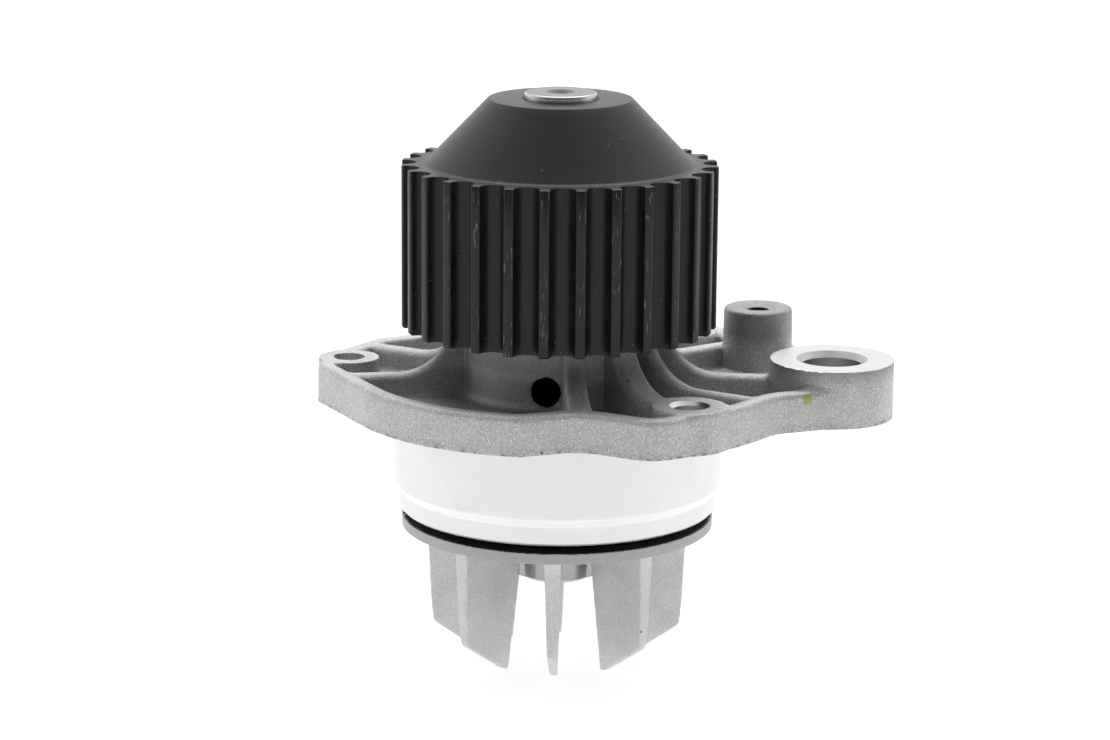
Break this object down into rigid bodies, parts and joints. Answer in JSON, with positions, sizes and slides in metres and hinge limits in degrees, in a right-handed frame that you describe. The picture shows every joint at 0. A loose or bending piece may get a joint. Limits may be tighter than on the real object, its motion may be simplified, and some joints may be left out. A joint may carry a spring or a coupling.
{
  "type": "engine water pump",
  "caption": "Engine coolant pump: black toothed-belt pulley over a cast flange with gusset ribs, turned spigot and straight-vane impeller on one bearing shaft.",
  "frame": {"origin": "centre of the spigot on the flange's mounting face", "axes": "+Z along the shaft towards the pulley, +X towards the large side boss, -Y towards the weep hole"},
  "size_m": [0.128, 0.095, 0.1287],
  "materials": {
    "cast_aluminium": "bead-blasted casting with bright machined seats",
    "bearing_steel": "ground",
    "cage_polymer": "moulded",
    "shaft_steel": "ground",
    "black_oxide": "black oxide, satin",
    "seal_rubber": "moulded",
    "seal_case_metal": "drawn sheet",
    "spring_steel": "drawn",
    "carbon": "lapped",
    "ceramic": "lapped",
    "cast_impeller": "as cast"
  },
  "bodies": {
    "pump_housing": {"housing": "cast_aluminium", "bearing_outer_ring": "bearing_steel", "bearing_seal_top": "seal_rubber", "bearing_seal_bottom": "seal_rubber", "seal_case": "seal_case_metal", "seal_spring": "spring_steel", "seal_bellows": "seal_rubber", "bellows_ferrule": "spring_steel", "seal_drive_ring": "spring_steel", "carbon_ring": "carbon"},
    "rotor": {"drive_shaft": "shaft_steel", "toothed_pulley": "black_oxide", "slinger": "seal_rubber", "mating_ring": "ceramic", "mating_ring_boot": "seal_rubber", "mating_ring_sleeve": "spring_steel", "impeller_bush": "shaft_steel", "impeller": "cast_impeller"},
    "ball_train": {"bearing_balls": "bearing_steel", "ball_cage": "cage_polymer"},
    "roller_train": {"bearing_rollers": "bearing_steel", "roller_cage": "cage_polymer"}
  },
  "joints": [
    {"name": "rotor_spin", "type": "hinge", "parent": "pump_housing", "child": "rotor", "pos_m": [0, 0, 0], "axis": [0, 0, 1], "continuous": true},
    {"name": "ball_orbit", "type": "hinge", "parent": "pump_housing", "child": "ball_train", "pos_m": [0, 0, 0.0214], "axis": [0, 0, 1], "continuous": true},
    {"name": "roller_orbit", "type": "hinge", "parent": "pump_housing", "child": "roller_train", "pos_m": [0, 0, 0.0414], "axis": [0, 0, 1], "continuous": true}
  ],
  "couplings": [
    {"joint": "ball_orbit", "follows": "rotor_spin", "ratio": 0.3466},
    {"joint": "roller_orbit", "follows": "rotor_spin", "ratio": 0.39}
  ]
}
